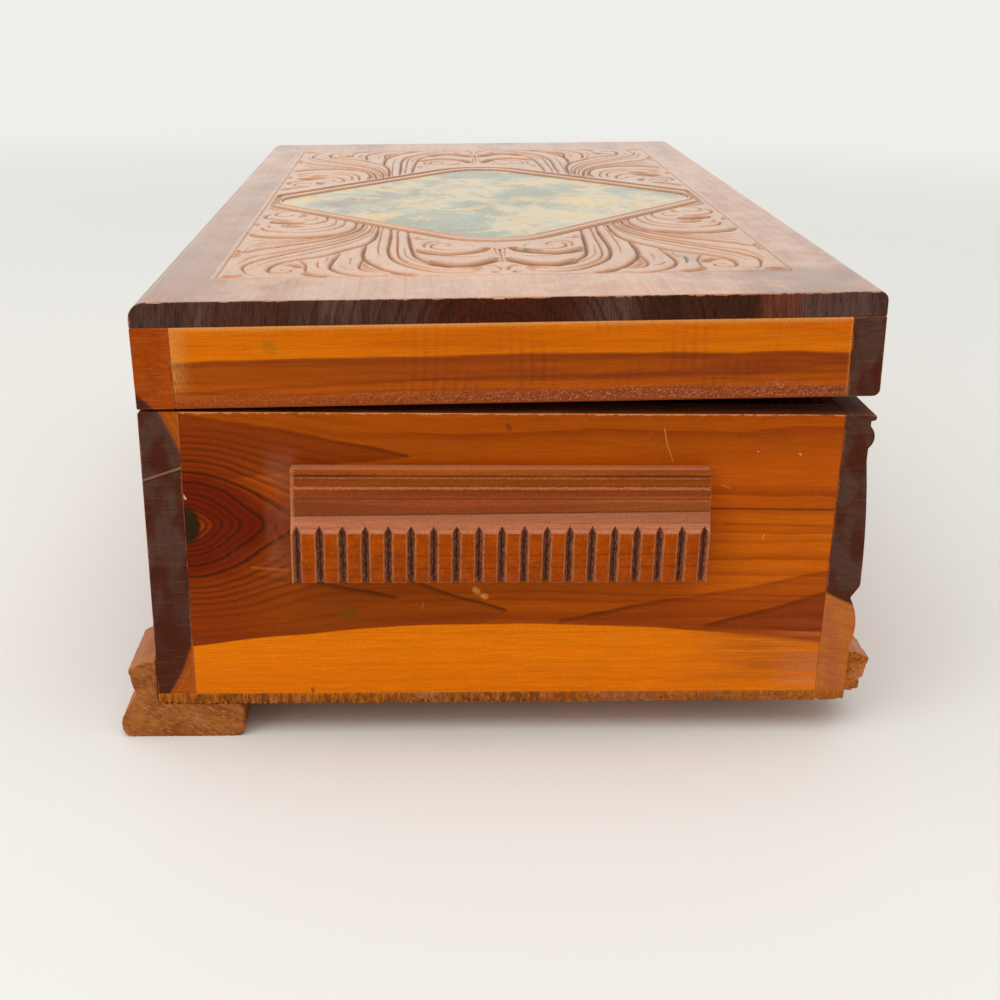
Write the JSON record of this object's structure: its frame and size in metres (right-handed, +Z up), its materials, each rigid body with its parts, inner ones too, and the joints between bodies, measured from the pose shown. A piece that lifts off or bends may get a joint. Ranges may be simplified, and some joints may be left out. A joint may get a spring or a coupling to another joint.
{
  "type": "jewelry box",
  "caption": "Rectangular cedar jewelry box on moulded bracket feet, with fluted end mouldings and a hinged, scroll-carved lid that stands slightly ajar.",
  "frame": {"origin": "on the ground under the middle of the box, at the bottom centre of its bounding box", "axes": "+X along the box's length, the front faces -Y, the hinges are at the back (+Y), +Z up"},
  "size_m": [0.287, 0.1694, 0.1012],
  "materials": {
    "cedar_lid_top": "varnished red cedar, carved and dulled by wear",
    "cedar_end_boards": "glossy varnished red cedar, end boards and end rails",
    "cedar_long_boards": "varnished red cedar heartwood, long boards and rails",
    "cedar_mouldings": "varnished red cedar moulding with worn edges",
    "cedar_feet": "rough, worn red cedar",
    "cedar_panel": "thin cedar panel with rough sawn edges",
    "picture_paper": "printed paper under yellowed varnish",
    "brass": "dulled stamped brass",
    "steel": "dull steel wire"
  },
  "bodies": {
    "base": {"bottom_panel": "cedar_panel", "front_board": "cedar_long_boards", "back_board": "cedar_long_boards", "left_end_board": "cedar_end_boards", "right_end_board": "cedar_end_boards", "left_end_moulding": "cedar_mouldings", "right_end_moulding": "cedar_mouldings", "front_left_foot": "cedar_feet", "front_right_foot": "cedar_feet", "back_left_foot": "cedar_feet", "back_right_foot": "cedar_feet", "left_hinge_body_leaf": "brass", "right_hinge_body_leaf": "brass", "left_hinge_pin": "steel", "right_hinge_pin": "steel", "body_hinge_screws": "brass", "corner_brads": "steel", "panel_brads": "steel", "foot_brads": "steel"},
    "lid": {"lid_top": "cedar_lid_top", "lid_picture": "picture_paper", "lid_front_rail": "cedar_long_boards", "lid_back_rail": "cedar_long_boards", "lid_left_rail": "cedar_end_boards", "lid_right_rail": "cedar_end_boards", "left_hinge_lid_leaf": "brass", "right_hinge_lid_leaf": "brass", "lid_hinge_screws": "brass", "lid_brads": "steel"}
  },
  "joints": [
    {"name": "lid_hinge", "type": "hinge", "parent": "base", "child": "lid", "pos_m": [0, 0.0782, 0.07535], "axis": [-1, 0, 0], "range_deg": [0, 100]}
  ]
}
